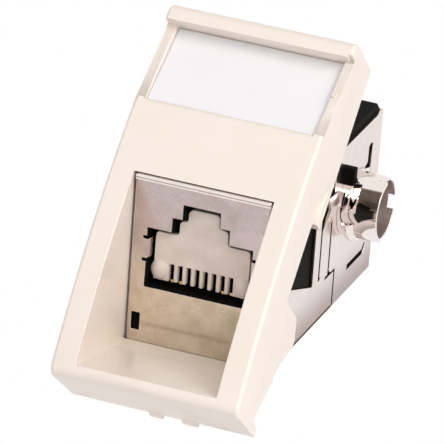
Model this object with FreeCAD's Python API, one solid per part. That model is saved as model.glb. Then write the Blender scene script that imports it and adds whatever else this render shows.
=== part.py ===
import FreeCAD, Part
import math
import os

os.makedirs("parts", exist_ok=True)
V = FreeCAD.Vector

# Angled snap-in outlet insert with a shielded 8-way jack.  Millimetres.
# Origin: middle of the bezel's lower front edge.  +X right, +Y inward, +Z up.
beyond = 60.0                # past the end of every piece, for through cuts

# Bezel
width = 22.5                 # half of a 45 mm square frame
height = 45.0
front_mid = 2.6              # how far the bowed front stands forward at mid height
front_end = 0.8              # the same near the upper and lower edge
edge_arc = 0.9               # height of the rounded upper and lower edge
edge_back = 0.1
edge_round = 0.45
wall = 1.5
rear_y = 8.0                 # rear rim of the upper side walls
side_draft = 0.45            # narrowing of each side towards the rear
window_low, window_high = 15.4, 25.3   # open notch in both side walls
strip_y = 4.4                # wall left in front of that notch
wing_y, wing_run = 12.1, 2.0           # furthest point of the lower wings, and their bevel
wing_low, wing_high = 12.6, 13.3
knee_y, knee_z = 9.2, 9.3    # lower outline of the wings
waist_y, waist_z = 6.2, 1.7
foot_y, foot_low, foot_high = 8.4, 0.4, 1.3
lip_y, lip_z = -1.2, 1.1     # lower edge of the plug opening
floor_y = (-0.4, 0.6, 5.0, 6.4)        # block under the sloped floor of the recess
floor_z = (0.1, 0.3, 0.6, 3.2)
cheek_thick = 0.9            # side walls of the recess beside the jack
cheek_y, cheek_z = 1.6, 6.5  # they reach this far past the jack's face, and up it
hollow_y, skin_y = 2.7, 2.0  # rear of the label field's wall, and of the front's
hollow_step = (1.4, 0.8)
top_wall = 1.6
ramp_y, ramp_rise, ramp_in, ramp_out = (3.1, 6.3), 7.1, 1.1, 0.2   # sloped pocket in the upper side walls
hook_x, hook_y, hook_z = ((-1.5, 0.1), (2.5, 4.3)), (7.6, 7.9, 8.9), (0.0, 0.1, 0.5, 0.9)
seat_y, seat_z, seat_grip = (7.3, 8.6, 9.2), (4.2, 5.6), 0.3   # lugs that hold the jack's sides

# Label field
label_size, label_gap = 10.0, 2.0      # height of the field, and of the bar above it
label_high = height - label_gap
label_low = label_high - label_size
rail_low, rail_high = 0.5, 1.7         # rails lie this far behind the bowed front, at either end
rail_width = 1.15
pocket_low, pocket_high = 0.95, 2.7    # depth behind the bowed front, at its lower and upper end
card_thick, card_margin = 0.25, 0.1
cover_thick, cover_margin = 0.5, 0.06
rim_run, rim_fall = 0.35, 0.35         # sloped rim under the label
nick_w, nick_d, nick_h = 0.5, 0.35, 0.3      # small nick at the right end of the top bar
stud_r, stud_inset, stud_rise = 0.3, 0.75, 0.45 # round stud on the right rail

# Jack, in its own frame: X as the bezel's, Y along the plug axis, Z up the face
tilt = 42.5
jack_y, jack_z = 4.25, 16.7  # centre of the port on the jack's face
side_room = 3.0              # from the jack's side to the bezel's
half_w = width / 2 - side_room
sheet = 0.35                 # stamped shield
face_top, face_length = 10.0, 20.5
face_deep = 7.0              # the taller part behind the face
body_top, floor_step = 7.6, 1.95       # the jack goes this far under the recess's floor
body_bottom = face_top - face_length - floor_step
seam_y, seam_gap = 22.4, 0.4           # front shield ends here
jack_length = 35.2           # at the lower edge
rear_lean = 0.7              # the rear is this much further back at the hood's upper edge
fit_gap = 0.15               # jack in bezel
slip = 0.05                  # plastic in shield
bend_r = 0.5
cut_deep, cut_over = 1.25, 0.75        # span of cuts through one side of the shield
cut_in, cut_out = half_w - cut_deep, half_w + cut_over

# Features of the shield's face and sides
side_window = ((7.0, -3.7), (15.5, -6.8), (15.5, 6.0), (7.0, 6.0))
side_slots = ((17.2, 17.7, -6.9, 3.8), (17.6, 18.1, -6.9, -6.5), (19.5, 20.4, -7.6, -7.2),
              (17.2, 20.8, -1.5, 3.8), (20.3, beyond, -7.6, beyond))
tongue_y = (17.7, 20.3)
tongue_z = (-1.5, -0.6, 2.2, 3.4)
tongue_lift, tongue_tip = 0.62, 0.35
wiper_low, wiper_high, wiper_deep, wiper_slit = -0.15, 2.2, 3.4, 0.4
wiper_in, wiper_out, wiper_room = 0.1, 0.45, 0.6
wiper_lean, wiper_bend = 0.3, 1.0      # each wiper leans inwards to this depth, and then back
face_slot_in, face_slot_w, face_slot_z = 0.65, 1.0, (-9.15, -7.0)

# Port
port_half, port_high = 6.35, 3.65
step_half, step_top = 3.45, 5.45
notch_half, notch_top = 2.25, 7.3
port_inset = 0.2             # housing's cavity is this much smaller than the cut-out
port_depth = 14.0
pitch = 1.02
ways = 8

# Shutter
shutter_face = 1.1           # depth of its front behind the jack's face
shutter_thick = 2.0
shutter_half = 5.68
shutter_round, crown_round = 0.45, 0.75
shutter_beside = (0.5, 0.27)  # room at the port's step and notch
shutter_above = (0.5, 0.5, 0.65)
shutter_run = 0.12           # sliding gap of the side lobes
lobe_r, lobe_tail = 1.05, 1.6
slot_w = 0.52
contact_w = 0.34
contact_t = 0.34
finger_top = -0.8
finger_end = -2.95
boss_r = 0.8
spring_z = 2.2
spring_r = 1.35
spring_wire = 0.3
spring_turns = 6
ear_reach = 0.35             # ears that stop the shutter at the front of its grooves
ear_z = (-2.4, -1.4)
ear_length = 1.2

# Contacts and their carrier
contact_tip, contact_heel = (1.6, -3.0), (2.2, -3.05)
tip_back = (0, 0, 0.9, 0.9, 0.9, 0.9, 0, 0)  # the middle contacts start further in
contact_run, contact_high, contact_low = 2.0, -1.25, -3.6
port_wall = 0.85             # behind the port, in front of the carrier
carrier_y = port_depth + port_wall
carrier_half, carrier_low = 5.4, -7.55
carrier_room, carrier_top = 0.1, 0.2
groove_in, drop_in = 0.45, (0.75, 2.15)
comb_z = (-1.9, -0.7)        # slots of the housing's rear wall, one for each contact

# Rear
board_y, board_thick = 20.0, 1.2
board_room = 0.7             # from the board's edge to the shield
board_half = half_w - sheet - board_room
board_foot, board_head = 1.6, 1.1      # from its lower and upper edge to the shield
board_low, board_high = body_bottom + sheet + board_foot, body_top - board_head
block_y, block_inset, block_ends = 25.4, 0.3, 1.1
term_x, term_in = (-4.8, -1.6, 1.6, 4.8), 3.5
term_z = (board_high - term_in, board_low + term_in)
blade_t, blade_w, blade_sink = 0.5, 2.5, 0.4
blade_slit, blade_mouth = (2.6, 0.8), (0.15, 0.7)
blade_room, wire_way = (0.2, 0.25), (1.0, 0.5, 2.2)
middle_half, middle_z, middle_deep = 4.0, (-4.2, 0.2), 2.6
cap_wall, cap_top = 0.75, 8.8          # the cap stands above the hood's open top
cap_floor, cap_foot, cap_head = 31.5, 2.65, 1.8
cap_z = (body_bottom + cap_foot, body_top - cap_head)
nub_y, nub_z = (23.45, 24.45), (3.05, 5.05)   # cap's latch, through the hood's side
nub_reach = 1.25
tab_y, tab_low, tab_round = 20.75, -7.3, 0.8
strap_slot = ((30.55, 1.1), (32.6, 0.75), (32.7, 4.0), (32.85, 4.6), (32.0, 4.75), (31.5, 4.5), (31.4, 2.6),
              (30.7, 2.4))
low_slot = ((26.9, -9.3), (32.0, -9.3), (32.9, -8.4), (32.4, -7.9), (31.7, -8.6), (26.9, -8.6))
rear_slot_half, rear_slot_z = 3.0, (1.5, 2.3)

# Cable clamp: a ring that stands out from the hood's right side.  Angles run from +Y towards +Z.
ring_y, ring_z = 25.75, -0.15
ring_r, ring_wall = 3.87, 0.42
ring_length = 3.55
lug_angles, lug_length = ((-118, -20), (100, 242)), (4.35, 4.75)
lug_root = 0.3
claw_angles, claw_length, claw_thin = (8, 94), 4.35, 0.22
cut_angles, cut_length = ((140, 166), (240, 330)), (0.6, 0.45)
step_angles, step_x, step_deep = (118, 172), (1.15, 2.2), 0.25   # sloped step beside the collar
flare_angles, flare_x, flare_rise = (-165, -85), (0.5, 1.95), 0.5
strap_line = ((27.4, 2.9), (29.5, 2.2), (31.1, 1.75))
strap_w, strap_t = 0.8, 0.4
cable_r = 2.6


def box(x0, x1, y0, y1, z0, z1):
    return Part.makeBox(x1 - x0, y1 - y0, z1 - z0, V(x0, y0, z0))


def prism_x(points, x0, x1):
    points = list(points)
    wire = Part.makePolygon([V(x0, y, z) for y, z in points + points[:1]])
    return Part.Face(wire).extrude(V(x1 - x0, 0, 0))


def prism_y(points, y0, y1):
    wire = Part.makePolygon([V(x, y0, z) for x, z in points + points[:1]])
    return Part.Face(wire).extrude(V(0, y1 - y0, 0))


def prism_z(points, z0, z1):
    wire = Part.makePolygon([V(x, y, z0) for x, y in points + points[:1]])
    return Part.Face(wire).extrude(V(0, 0, z1 - z0))


def cyl_x(r, x0, x1, y, z):
    return Part.makeCylinder(r, x1 - x0, V(x0, y, z), V(1, 0, 0))


def cyl_y(r, y0, y1, x, z):
    return Part.makeCylinder(r, y1 - y0, V(x, y0, z), V(0, 1, 0))


def both(shape):
    return [shape, shape.mirror(V(0, 0, 0), V(1, 0, 0))]


def fillet(shape, radius, pick):
    edges = [e for e in shape.Edges if pick(e.BoundBox)]
    return shape.makeFillet(radius, edges) if edges else shape


def into_row(shape):
    """Turn a shape from the jack's frame into the bezel's."""
    turned = shape.copy()
    turned.rotate(V(0, 0, 0), V(1, 0, 0), tilt)
    turned.translate(V(0, jack_y, jack_z))
    return turned


def jack_point(y, z):
    c, s = math.cos(math.radians(tilt)), math.sin(math.radians(tilt))
    return (jack_y + y * c - z * s, jack_z + y * s + z * c)


def strip(points, thick):
    """Outline of a flat strip of even thickness along a broken line."""
    left, right = [], []
    for i, (a, b) in enumerate(points):
        p = points[max(i - 1, 0)]
        n = points[min(i + 1, len(points) - 1)]
        d1 = (a - p[0], b - p[1]) if i else (n[0] - a, n[1] - b)
        d2 = (n[0] - a, n[1] - b) if i < len(points) - 1 else d1
        u1 = [c / math.hypot(*d1) for c in d1]
        u2 = [c / math.hypot(*d2) for c in d2]
        m = (-(u1[1] + u2[1]), u1[0] + u2[0])
        k = thick / (m[0] * -u1[1] + m[1] * u1[0]) / 2
        left.append((a + m[0] * k, b + m[1] * k))
        right.append((a - m[0] * k, b - m[1] * k))
    return left + right[::-1]


def bow(z):
    """Forward bulge of the bezel's front at height z."""
    half = height / 2
    return front_mid - (front_mid - front_end) * ((z - half) / (half - edge_arc)) ** 2


def port_outline(inset):
    h, s, n = port_half - inset, step_half - inset, notch_half - inset
    return [(-h, -port_high + inset), (h, -port_high + inset), (h, port_high - inset),
            (s, port_high - inset), (s, step_top - inset), (n, step_top - inset),
            (n, notch_top - inset), (-n, notch_top - inset), (-n, step_top - inset),
            (-s, step_top - inset), (-s, port_high - inset), (-h, port_high - inset)]


def ways_x():
    return [(i - (ways - 1) / 2) * pitch for i in range(ways)]


def bezel_outer():
    def arc(a, b, c):
        return Part.Arc(*[V(-width / 2, y, z) for y, z in (a, b, c)]).toShape()

    low, top = (-bow(edge_arc), edge_arc), (-bow(height - edge_arc), height - edge_arc)
    lean = 2 * math.atan((front_mid - front_end) / (height / 2 - edge_arc))
    reach = edge_back + front_end
    sag = math.tan((math.atan2(reach, edge_arc) - lean) / 2) / 2
    turn_y, turn_z = (edge_back - front_end) / 2 - sag * edge_arc, edge_arc / 2 - sag * reach
    edges = [arc((edge_back, 0), (turn_y, turn_z), low), arc(low, (-front_mid, height / 2), top),
             arc(top, (turn_y, height - turn_z), (edge_back, height))]
    rear = [(edge_back, height), (rear_y, height), (rear_y, window_high), (strip_y, window_high),
            (strip_y, window_low), (wing_y - wing_run, window_low), (wing_y, wing_high), (wing_y, wing_low),
            (knee_y, knee_z), (waist_y, waist_z), (foot_y, foot_high), (foot_y, foot_low), (edge_back, 0)]
    for a, b in zip(rear, rear[1:]):
        edges.append(Part.LineSegment(V(-width / 2, *a), V(-width / 2, *b)).toShape())
    body = Part.Face(Part.Wire(edges)).extrude(V(width, 0, 0))
    w = width / 2
    plan = [(-w, -wing_y), (w, -wing_y), (w, edge_arc), (w - side_draft, wing_y + wall),
            (side_draft - w, wing_y + wall), (-w, edge_arc)]
    body = body.common(prism_z(plan, -wall, height + wall))
    return fillet(body, edge_round, lambda b: b.XLength < 1e-3 and b.YMax < 2 * edge_back)


def make_bezel():
    inner = half_w + fit_gap
    outer = inner + cheek_thick
    hollow = width / 2 - wall
    room_low, room_top = body_bottom - fit_gap, face_top + fit_gap
    floor_rear = jack_point(0, face_top - face_length)
    floor_low = jack_point(0, room_low)
    top_edge = jack_point(0, room_top)
    a, b, c, d = floor_y
    floor = prism_x([(b, floor_z[0]), (a, floor_z[2]), floor_rear, floor_low, (d, floor_z[3]),
                     (c, floor_z[1])], -outer, outer)
    cheek = prism_x([(b, floor_z[2]), floor_low, jack_point(cheek_y, room_low), jack_point(cheek_y, cheek_z),
                     jack_point(0, cheek_z)], inner, outer)
    body = bezel_outer().fuse(floor)
    for side in both(cheek):
        body = body.fuse(side)
    plug_way = prism_x([(-beyond, lip_z), (lip_y, lip_z), floor_rear, top_edge, (-beyond, top_edge[1])],
                       -inner, inner)
    seat = into_row(box(-inner, inner, 0, beyond, room_low, room_top))
    behind = into_row(box(-hollow, hollow, cheek_y, beyond, room_low, room_top))
    front, low, top = skin_y - front_mid, window_high + 2 * fit_gap, height - top_wall
    above = prism_x([(front, low), (front, label_low - hollow_step[0]), (hollow_y, label_low - hollow_step[1]),
                     (hollow_y, top), (beyond, top), (beyond, low)], -hollow, hollow)
    body = body.cut(plug_way).cut(seat).cut(behind).cut(above)
    grip = half_w - seat_grip
    for lug in both(into_row(prism_z([(hollow + slip, seat_y[0]), (grip, seat_y[1]), (grip, seat_y[2]),
                                      (hollow + slip, seat_y[2])], *seat_z))):
        body = body.fuse(lug)

    mid = (label_low + label_high) / 2
    front = (rail_low + rail_high) / 2 - bow(mid)
    rails = prism_x([(-beyond, label_low), (rail_low - bow(label_low), label_low), (front, mid),
                     (rail_high - bow(label_high), label_high), (-beyond, label_high)], -width, width)
    half = width / 2 - rail_width
    pocket = prism_x([(-beyond, label_low), (pocket_low - bow(label_low), label_low),
                      (pocket_high - bow(label_high), label_high), (-beyond, label_high)], -half, half)
    body = body.cut(rails).cut(pocket)
    rim = rim_run - bow(label_low)
    body = body.cut(prism_x([(rim, label_low), (rim, label_low + slip), (rim - 2 * rim_run, label_low + slip),
                             (rim - 2 * rim_run, label_low - 2 * rim_fall)], -half, half))
    body = body.cut(box(width / 2 - nick_w, width, -front_mid, nick_d,
                        label_high - edge_back, label_high + nick_h))
    low = window_high - edge_back
    for ramp in both(prism_y([(width / 2 + ramp_out, low + ramp_rise), (width / 2 - ramp_in, low),
                              (width / 2 + ramp_out, low)], *ramp_y)):
        body = body.cut(ramp)
    for x0, x1 in hook_x:
        body = body.fuse(prism_x([(hook_y[0], hook_z[2]), (hook_y[1], hook_z[0]), (hook_y[2], hook_z[1]),
                                  (hook_y[2], hook_z[3]), (hook_y[0], hook_z[3])], x0, x1))
    body = body.fuse(cyl_y(stud_r, front - stud_r / 2, front + wall, width / 2 - stud_inset, mid + stud_rise))
    return body.removeSplitter()


def label_layer(lift, thick, margin):
    """Flat piece on the pocket's leaning floor, lifted off it and standing clear of its sides."""
    half = width / 2 - rail_width - margin
    a, b = pocket_low - bow(label_low) - lift, pocket_high - bow(label_high) - lift
    slope = (b - a) / (label_high - label_low)
    z0, z1 = label_low + margin, label_high - margin
    a, b = a + slope * margin, b - slope * margin
    return prism_x([(a - thick, z0), (b - thick, z1), (b, z1), (a, z0)], -half, half)


def bent_tongue():
    """Sprung tongue of the shield's side, lifted at its free end."""
    flat, (z0, z1, z2, z3) = half_w - sheet / 2, tongue_z
    line = [(flat, z0), (flat, z1), (half_w + tongue_lift, z2), (half_w + tongue_tip, z3)]
    return prism_y(strip(line, sheet), *tongue_y)


def make_front_shield():
    outer = box(-half_w, half_w, 0, seam_y, body_bottom, face_top)
    outer = fillet(outer, bend_r, lambda b: b.YMax < 1e-3 or b.YLength > bend_r)
    skin = outer.cut(box(sheet - half_w, half_w - sheet, sheet, beyond, body_bottom + sheet, face_top - sheet))
    skin = skin.cut(box(-cut_out, cut_out, face_deep, beyond, body_top, beyond))
    skin = skin.cut(prism_y(port_outline(0), -sheet, 2 * sheet))
    in_x, out_x, slot_x = port_half - wiper_in, port_half + wiper_out, half_w - face_slot_in
    cuts = [box(in_x, out_x, -sheet, 2 * sheet, wiper_low - wiper_slit, wiper_low),
            box(in_x, out_x, -sheet, 2 * sheet, wiper_high, wiper_high + wiper_slit),
            box(slot_x - face_slot_w, slot_x, -sheet, 2 * sheet, *face_slot_z),
            prism_x(side_window, cut_in, cut_out)]
    cuts += [box(cut_in, cut_out, *slot) for slot in side_slots]
    for cut in cuts:
        for side in both(cut):
            skin = skin.cut(side)
    back_x, near_x = in_x + sheet - slip, in_x - wiper_lean
    wiper = prism_z([(in_x, 0), (back_x, 0), (back_x - wiper_lean, wiper_bend), (back_x, wiper_deep),
                     (in_x, wiper_deep), (near_x, wiper_bend)], wiper_low, wiper_high)
    for piece in both(wiper) + both(bent_tongue()):
        skin = skin.fuse(piece)
    return skin.removeSplitter()


def make_housing():
    x = half_w - sheet - slip
    body = box(-x, x, sheet, seam_y - 2 * slip, body_bottom + sheet, body_top - 2 * slip)
    body = body.fuse(box(-x, x, sheet, face_deep - 2 * slip, 0, face_top - sheet - slip))
    body = body.cut(prism_y(port_outline(port_inset), -sheet, port_depth))
    half = carrier_half + carrier_room
    body = body.cut(box(-half, half, carrier_y - slip, board_y, carrier_low - slip, carrier_top))
    half = board_half + 2 * slip
    body = body.cut(box(-half, half, board_y, beyond, board_low - 2 * slip, board_high + 2 * slip))
    x0 = port_half - wiper_in - sheet + slip
    for room in both(box(x0, x0 + 2 * sheet, -sheet, wiper_deep + wiper_room,
                         wiper_low - port_inset, wiper_high + port_inset)):
        body = body.cut(room)
    for cx in ways_x():
        body = body.cut(box(cx - slot_w / 2, cx + slot_w / 2, port_depth - slip, carrier_y + slip, *comb_z))
    groove = port_half - port_inset + ear_reach + shutter_run
    y0 = shutter_face + shutter_thick - slip
    body = body.cut(box(-groove, groove, y0, port_depth, ear_z[0] - shutter_run, ear_z[1] + shutter_run))
    return body.removeSplitter()


def make_shutter():
    y0, y1 = shutter_face, shutter_face + shutter_thick
    edges = zip((port_high, step_top, notch_top), shutter_above)
    low, mid, top = [z - port_inset - room for z, room in edges]
    h, s, n = shutter_half, step_half - shutter_beside[0], notch_half - shutter_beside[1]
    plate = prism_y([(-h, finger_end), (h, finger_end), (h, low), (s, low), (s, mid), (n, mid),
                     (n, top), (-n, top), (-n, mid), (-s, mid), (-s, low), (-h, low)], y0, y1)
    plate = fillet(plate, shutter_round, lambda b: b.YLength > shutter_round and 0 < b.ZMin < top - slip)
    plate = fillet(plate, crown_round, lambda b: b.YLength > shutter_round and b.ZMin > top - slip)
    reach = port_half - port_inset - shutter_run
    for lobe in both(cyl_y(lobe_r, y0, y1 + lobe_tail, reach - lobe_r, finger_end + lobe_r)):
        plate = plate.fuse(lobe)
    for ear in both(box(reach - lobe_r, reach + ear_reach, y1, y1 + ear_length, *ear_z)):
        plate = plate.fuse(ear)
    for cx in ways_x():
        plate = plate.cut(box(cx - slot_w / 2, cx + slot_w / 2, 0, beyond, -beyond, finger_top))
    plate = plate.fuse(cyl_y(boss_r, y1 - slip, y1 + lobe_tail, 0, spring_z))
    return plate.removeSplitter()


def make_spring():
    clear = spring_wire / 15
    start = shutter_face + shutter_thick + clear
    length = port_depth - start - clear
    rise = length - spring_wire
    helix = Part.makeHelix(rise / spring_turns, rise, spring_r)
    h = spring_wire / 2
    wire = Part.makePolygon([V(spring_r + a * h, 0, b * h)
                             for a, b in ((-1, -1), (1, -1), (1, 1), (-1, 1), (-1, -1))])
    coil = Part.Wire(helix).makePipeShell([wire], True, True)
    coil.rotate(V(0, 0, 0), V(1, 0, 0), -90)
    coil.translate(V(0, start + h, spring_z))
    return coil


def make_contact(i):
    cx, z, back = ways_x()[i], contact_high, tip_back[i]
    path = [(y + back, z1) for y, z1 in (contact_tip, contact_heel)]
    path += [(port_depth - contact_run, z), (carrier_y + drop_in[0], z)]
    path += [(board_y, z)] if i % 2 else [(carrier_y + drop_in[1], contact_low), (board_y, contact_low)]
    return prism_x(strip(path, contact_t), cx - contact_w / 2, cx + contact_w / 2)


def make_carrier():
    body = box(-carrier_half, carrier_half, carrier_y, board_y, carrier_low, contact_high - contact_t / 2)
    low = contact_low - contact_t / 2
    for cx in ways_x()[::2]:
        body = body.cut(box(cx - slot_w / 2, cx + slot_w / 2, carrier_y + groove_in, beyond, low, beyond))
    return body.removeSplitter()


def terminal_places():
    return [(x, z) for z in term_z for x in term_x]


def make_board():
    return box(-board_half, board_half, board_y, board_y + board_thick, board_low, board_high)


def make_block():
    half = board_half - block_inset
    body = box(-half, half, board_y + board_thick, block_y, board_low + block_ends, board_high - block_ends)
    for x, z in terminal_places():
        a, b = blade_t / 2 + blade_room[0], blade_w / 2 + blade_room[1]
        body = body.cut(box(x - a, x + a, 0, beyond, z - b, z + b))
        a, b, deep = wire_way
        body = body.cut(box(x - a, x + a, block_y - deep, beyond, z - b, z + b))
    body = body.cut(box(-middle_half, middle_half, block_y - middle_deep, beyond, *middle_z))
    return body.removeSplitter()


def make_terminal(i):
    x, z = terminal_places()[i]
    y0, y1 = board_y + board_thick, block_y - blade_sink
    blade = box(x - blade_t / 2, x + blade_t / 2, y0, y1, z - blade_w / 2, z + blade_w / 2)
    (deep, neck), (a, b) = blade_slit, blade_mouth
    slit = prism_x([(y1 - deep, z - a), (y1 - neck, z - a), (y1 + slip, z - b), (y1 + slip, z + b),
                    (y1 - neck, z + a), (y1 - deep, z + a)], x - blade_t, x + blade_t)
    return blade.cut(slit)


def rear_at(z):
    """Depth of the hood's leaning rear at height z of the jack."""
    return jack_length + rear_lean * (z - body_bottom) / (body_top - body_bottom)


def make_cap():
    x = half_w - sheet - slip
    y0 = seam_y + seam_gap
    low = body_bottom + sheet
    body = prism_x([(y0, low), (rear_at(low) - sheet, low), (rear_at(body_top) - sheet, body_top),
                    (rear_at(body_top) - sheet - cap_top + body_top, cap_top), (y0, cap_top)], -x, x)
    body = body.cut(box(cap_wall - x, x - cap_wall, 0, cap_floor, *cap_z))
    body = body.cut(cyl_x(cable_r, cut_in - cap_wall, cut_out, ring_y, ring_z))
    for nub in both(box(x - cap_wall / 2, half_w + nub_reach, *nub_y, *nub_z)):
        body = body.fuse(nub)
    return body.removeSplitter()


def make_hood():
    y0 = seam_y + seam_gap

    def shell(x, z0, z1, inset):
        return prism_x([(y0 - inset, z0), (rear_at(z0) - inset, z0), (rear_at(z1) - inset, z1),
                        (y0 - inset, z1)], -x, x)

    outer = fillet(shell(half_w, body_bottom, body_top, 0), bend_r,
                   lambda b: (b.ZMax < body_bottom + 1e-3 and b.YLength > bend_r)
                   or (b.YMin > jack_length - 1e-3 and not (b.XLength > bend_r and b.ZMin > 0)))
    skin = outer.cut(shell(half_w - sheet, body_bottom + sheet, body_top + sheet, sheet))
    tab = box(half_w - sheet, half_w, tab_y, y0 + sheet, tab_low, body_top)
    tab = fillet(tab, tab_round, lambda b: b.XLength > sheet / 2 and b.YMax < tab_y + sheet and b.ZMax < 0)
    for side in both(tab):
        skin = skin.fuse(side)
    skin = skin.cut(cyl_x(cable_r, cut_in, cut_out, ring_y, ring_z))
    for hole in both(box(cut_in, cut_out, nub_y[0] - slip, nub_y[1] + slip, nub_z[0] - slip, nub_z[1] + slip)):
        skin = skin.cut(hole)
    for slot in (strap_slot, low_slot):
        skin = skin.cut(prism_x(slot, cut_in, cut_out))
    skin = skin.cut(box(-rear_slot_half, rear_slot_half, jack_length - sheet, beyond, *rear_slot_z))
    return skin.removeSplitter()


def ring_part(profile, a0, a1):
    """Profile of (length, radius) points turned about the ring's axis."""
    return turned_part(Part.makePolygon([V(half_w + x, r, 0) for x, r in profile + profile[:1]]), a0, a1)


def turned_part(wire, a0, a1):
    part = Part.Face(wire).revolve(V(0, 0, 0), V(1, 0, 0), a1 - a0)
    part.rotate(V(0, 0, 0), V(1, 0, 0), a0)
    part.translate(V(0, ring_y, ring_z))
    return part


def make_clamp():
    r0, r1, root = ring_r - ring_wall, ring_r, ring_length - lug_root
    ring = cyl_x(r1, half_w, half_w + ring_length, ring_y, ring_z)
    for (a0, a1), end in zip(cut_angles, cut_length):
        ring = ring.cut(ring_part([(-r0, r0 / 2), (end, r0 / 2), (end, 2 * r1), (-r0, 2 * r1)], a0, a1))
    for (a0, a1), end in zip(lug_angles, lug_length):
        ring = ring.fuse(ring_part([(root, r0), (end, r0), (end, r1), (root, r1)], a0, a1))
    claw = [(root, r0), (claw_length, r0), (claw_length, r1 - claw_thin), (root, r1)]
    ring = ring.fuse(ring_part(claw, *claw_angles))
    x0, x1 = step_x
    ring = ring.cut(ring_part([(x0, r1 - step_deep), (x1, r1), (x1, 2 * r1), (x0, 2 * r1)], *step_angles))
    x0, x1 = half_w + flare_x[0], half_w + flare_x[1]
    crown = Part.Arc(V(x0, r1, 0), V((x0 + x1) / 2, r1 + flare_rise, 0), V(x1, r1, 0)).toShape()
    sunk = r1 - ring_wall / 2
    foot = Part.makePolygon([V(x1, r1, 0), V(x1, sunk, 0), V(x0, sunk, 0), V(x0, r1, 0)])
    ring = ring.fuse(turned_part(Part.Wire([crown] + foot.Edges), *flare_angles))
    ring = ring.fuse(prism_x(strip(strap_line, strap_w), half_w, half_w + strap_t))
    a, b, c, d = nub_y[0] - 2 * slip, nub_y[1] + 2 * slip, nub_z[0] - 2 * slip, nub_z[1] + 2 * slip
    ring = ring.cut(box(cut_in, half_w + nub_reach + 2 * slip, a, b, c, d))
    return ring.cut(cyl_x(r0, 0, beyond, ring_y, ring_z)).removeSplitter()


in_row = {
    "bezel": make_bezel(),
    "label_card": label_layer(0, card_thick, card_margin),
    "label_cover": label_layer(card_thick, cover_thick, cover_margin),
}
in_jack = {
    "front_shield": make_front_shield(),
    "jack_housing": make_housing(),
    "shutter": make_shutter(),
    "shutter_spring": make_spring(),
    "contact_carrier": make_carrier(),
    "circuit_board": make_board(),
    "terminal_block": make_block(),
    "wire_cap": make_cap(),
    "rear_hood": make_hood(),
    "cable_clamp": make_clamp(),
}
for i in range(ways):
    in_jack["contact_%d" % (i + 1)] = make_contact(i)
for i in range(len(terminal_places())):
    in_jack["terminal_%d" % (i + 1)] = make_terminal(i)
for name, shape in in_jack.items():
    in_row[name] = into_row(shape)
for name, shape in in_row.items():
    shape.exportStep("parts/%s.step" % name)
    bound = shape.BoundBox
    print("%-16s solids %d valid %s volume %.2f  x %.2f..%.2f y %.2f..%.2f z %.2f..%.2f" % (
        name, len(shape.Solids), shape.isValid(), shape.Volume, bound.XMin, bound.XMax,
        bound.YMin, bound.YMax, bound.ZMin, bound.ZMax))
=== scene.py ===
"""Angled snap-in network jack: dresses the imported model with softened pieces, finishes and a studio."""

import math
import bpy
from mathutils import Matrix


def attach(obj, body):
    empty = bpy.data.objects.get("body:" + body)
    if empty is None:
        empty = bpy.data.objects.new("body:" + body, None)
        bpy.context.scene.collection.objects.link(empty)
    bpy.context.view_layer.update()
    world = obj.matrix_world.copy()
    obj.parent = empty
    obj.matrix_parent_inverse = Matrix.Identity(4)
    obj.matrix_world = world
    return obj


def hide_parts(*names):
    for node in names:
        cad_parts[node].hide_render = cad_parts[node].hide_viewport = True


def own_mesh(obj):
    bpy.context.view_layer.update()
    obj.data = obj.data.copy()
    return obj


bl_info = {
    "name": "Angled Network Jack",
    "version": (1, 0, 0),
    "blender": (4, 5, 0),
    "location": "View3D > Sidebar > Jack",
    "description": "Softened pieces, finishes and a small studio for an angled network jack",
    "category": "Object",
}

import bmesh
import bpy
from bpy.props import FloatProperty, FloatVectorProperty, IntProperty, PointerProperty
from mathutils import Color, Matrix, Vector

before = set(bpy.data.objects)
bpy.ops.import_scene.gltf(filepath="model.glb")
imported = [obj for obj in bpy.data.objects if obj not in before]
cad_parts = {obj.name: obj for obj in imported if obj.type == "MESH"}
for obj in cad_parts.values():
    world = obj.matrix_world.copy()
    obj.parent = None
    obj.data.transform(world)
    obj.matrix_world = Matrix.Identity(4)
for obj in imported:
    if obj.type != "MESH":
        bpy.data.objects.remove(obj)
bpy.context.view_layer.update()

MM = 0.001

# The jack's own frame: y runs into the port, z up its face
TILT = math.radians(42.5)               # lean of the jack in the bezel
JACK = Vector((0.0, 4.25, 16.7)) * MM   # middle of the port on the jack's face
ALONG = Vector((0.0, math.cos(TILT), math.sin(TILT)))
UP = Vector((0.0, -math.sin(TILT), math.cos(TILT)))
SHUTTER_FRONT = 1.1                     # depth of the closed shutter behind the face
SHIELD_BEND = -11.78 * MM               # height of the bend along the shield's foot
RING_AXIS = (0, 25.75, -0.15)           # a point on the axis of the clamp ring

# Rounding of edges
MERGE_REACH = 2e-6                      # corners this close are one corner
FLAT_ANGLE = math.radians(0.6)          # triangles within this angle are one flat
SHARP_ANGLE = math.radians(32.0)        # an edge over this angle is sharp
LONG_EDGE = 1.0 * MM                    # a sharp edge this long is always rounded off
ROOM_AHEAD, ROOM_BESIDE = 0.6, 2.2      # shortest neighbours of a rounded edge, as shares of its radius
FOLD_REACH = 2.5                        # short edges this many radii from a folded spot may stay sharp
NO_LENGTH = 2e-7                        # shorter edges are dropped from a finished mesh
CREASE_ANGLE = math.radians(40.0)       # shading breaks over this angle


def jack_point(x, y, z):
    """A point of the jack's own frame, in millimetres, as a place in the part's frame."""
    return JACK + Vector((x, 0, 0)) * MM + ALONG * (y * MM) + UP * (z * MM)


# Properties


def size(name, words, default):
    return FloatProperty(name=name, description=words, default=default, min=0.0, unit="LENGTH",
                         precision=5)


def tint(name, words, red, green, blue):
    return FloatVectorProperty(name=name, description=words, subtype="COLOR_GAMMA", size=3, min=0.0,
                               max=1.0, default=(red / 255, green / 255, blue / 255))


def level(name, words, default, top=20.0):
    return FloatProperty(name=name, description=words, default=default, min=0.0, max=top)


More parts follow.
